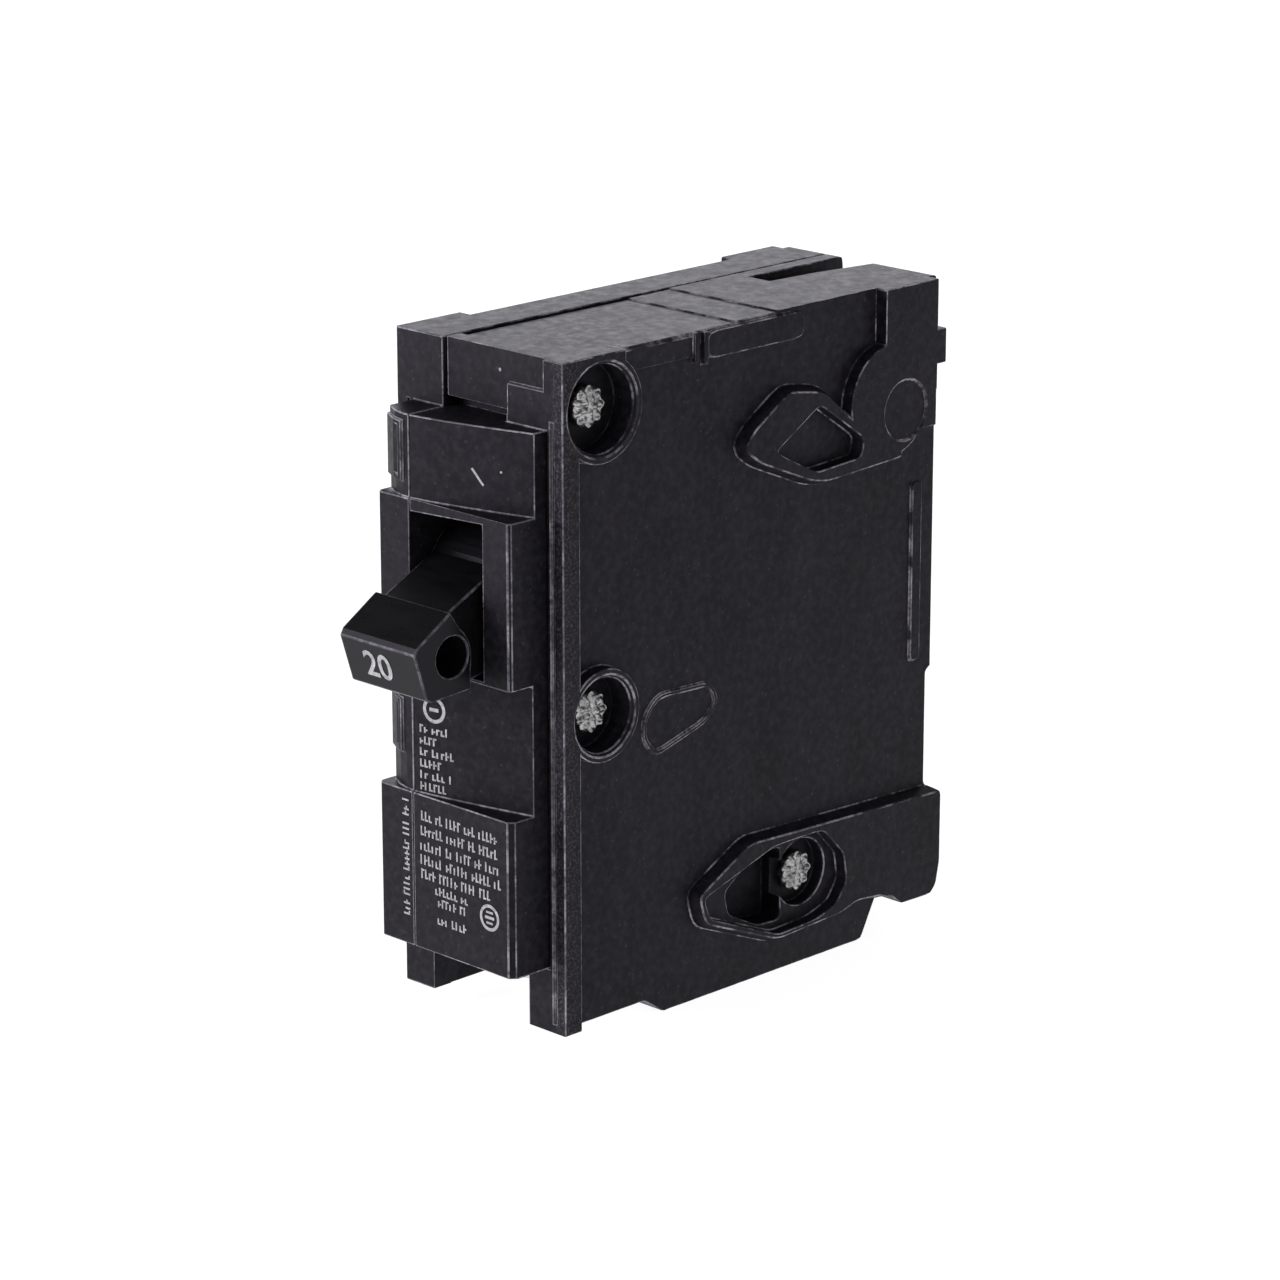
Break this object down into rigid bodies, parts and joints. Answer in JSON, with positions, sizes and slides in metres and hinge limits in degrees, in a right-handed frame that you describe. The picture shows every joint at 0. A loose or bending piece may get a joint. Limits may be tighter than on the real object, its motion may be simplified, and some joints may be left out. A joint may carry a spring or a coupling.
{
  "type": "plug-on circuit breaker",
  "caption": "Single-pole plug-on circuit breaker with a two-shell case, switching handle, toggle mechanism, arc chute, thermal-magnetic trip and wire lug.",
  "frame": {"origin": "middle of the outline's width and depth, with the handle off, at the level of the flat bottom edge", "axes": "+X across the width to the base shell's outer face, +Y to the back where the jaw and rail hook are, so the handle faces -Y, +Z to the line end"},
  "size_m": [0.0254, 0.0753, 0.0762],
  "materials": {
    "case": "black moulded phenolic, satin, with pale worn edges",
    "handle": "smooth black moulded plastic",
    "zinc_steel": "zinc plated steel",
    "steel": "plain stamped steel",
    "spring_steel": "drawn spring wire and strip",
    "copper": "bare copper strip and braid",
    "plated_copper": "tin plated copper",
    "silver": "silver alloy contact",
    "bimetal": "rolled bimetal strip",
    "aluminium": "extruded aluminium",
    "fibre": "vulcanised fibre board"
  },
  "bodies": {
    "case": {"base_shell": "case", "cover_shell": "case", "case_rivet_upper": "zinc_steel", "case_rivet_middle": "zinc_steel", "case_rivet_lower": "zinc_steel", "fixed_contact": "silver", "line_strap": "copper", "line_jaw": "plated_copper", "jaw_spring_clip": "spring_steel", "arc_chute_frame": "fibre", "arc_plate_1": "steel", "arc_plate_2": "steel", "arc_plate_3": "steel", "arc_plate_4": "steel", "arc_plate_5": "steel", "cradle_pin": "zinc_steel", "toggle_spring": "spring_steel", "load_strap": "copper", "bimetal_strip": "bimetal", "copper_braid": "copper", "calibration_screw": "zinc_steel", "magnet_yoke": "steel", "armature_spring": "spring_steel", "lug_box": "aluminium"},
    "handle_body": {"handle": "handle", "arm_pivot_pin": "steel"},
    "contact_arm_body": {"contact_arm": "copper", "moving_contact": "silver"},
    "cradle_body": {"trip_cradle": "steel"},
    "armature_body": {"trip_armature": "steel"},
    "clamp_body": {"wire_clamp_plate": "zinc_steel"},
    "screw_body": {"lug_screw": "zinc_steel"}
  },
  "joints": [
    {"name": "handle_swing", "type": "hinge", "parent": "case", "child": "handle_body", "pos_m": [0, -0.01875, 0.0494], "axis": [-1, 0, 0], "range_deg": [0, 35.2], "deforming": ["toggle_spring", "copper_braid"]},
    {"name": "contact_arm_swing", "type": "hinge", "parent": "handle_body", "child": "contact_arm_body", "pos_m": [0, -0.00684, 0.05318], "axis": [1, 0, 0], "range_deg": [0, 75.21]},
    {"name": "cradle_trip", "type": "hinge", "parent": "case", "child": "cradle_body", "pos_m": [0, -0.00995, 0.062], "axis": [1, 0, 0], "range_deg": [0, 20]},
    {"name": "armature_release", "type": "hinge", "parent": "case", "child": "armature_body", "pos_m": [0, 0.01605, 0.0262], "axis": [1, 0, 0], "range_deg": [0, 7], "stiffness_Nm_per_rad": 0.004, "springref_deg": -2.86, "deforming": ["armature_spring"]},
    {"name": "wire_clamp_slide", "type": "slide", "parent": "case", "child": "clamp_body", "axis": [0, 1, 0], "range_m": [0, 0.0045]},
    {"name": "lug_screw_turn", "type": "hinge", "parent": "clamp_body", "child": "screw_body", "pos_m": [-0.0005, -0.01395, 0.0064], "axis": [0, 1, 0], "range_deg": [0, 1800]}
  ],
  "couplings": [
    {"joint": "contact_arm_swing", "follows": "handle_swing", "ratio": 2.1364},
    {"joint": "lug_screw_turn", "follows": "wire_clamp_slide", "rad_per_m": 6981.3}
  ]
}
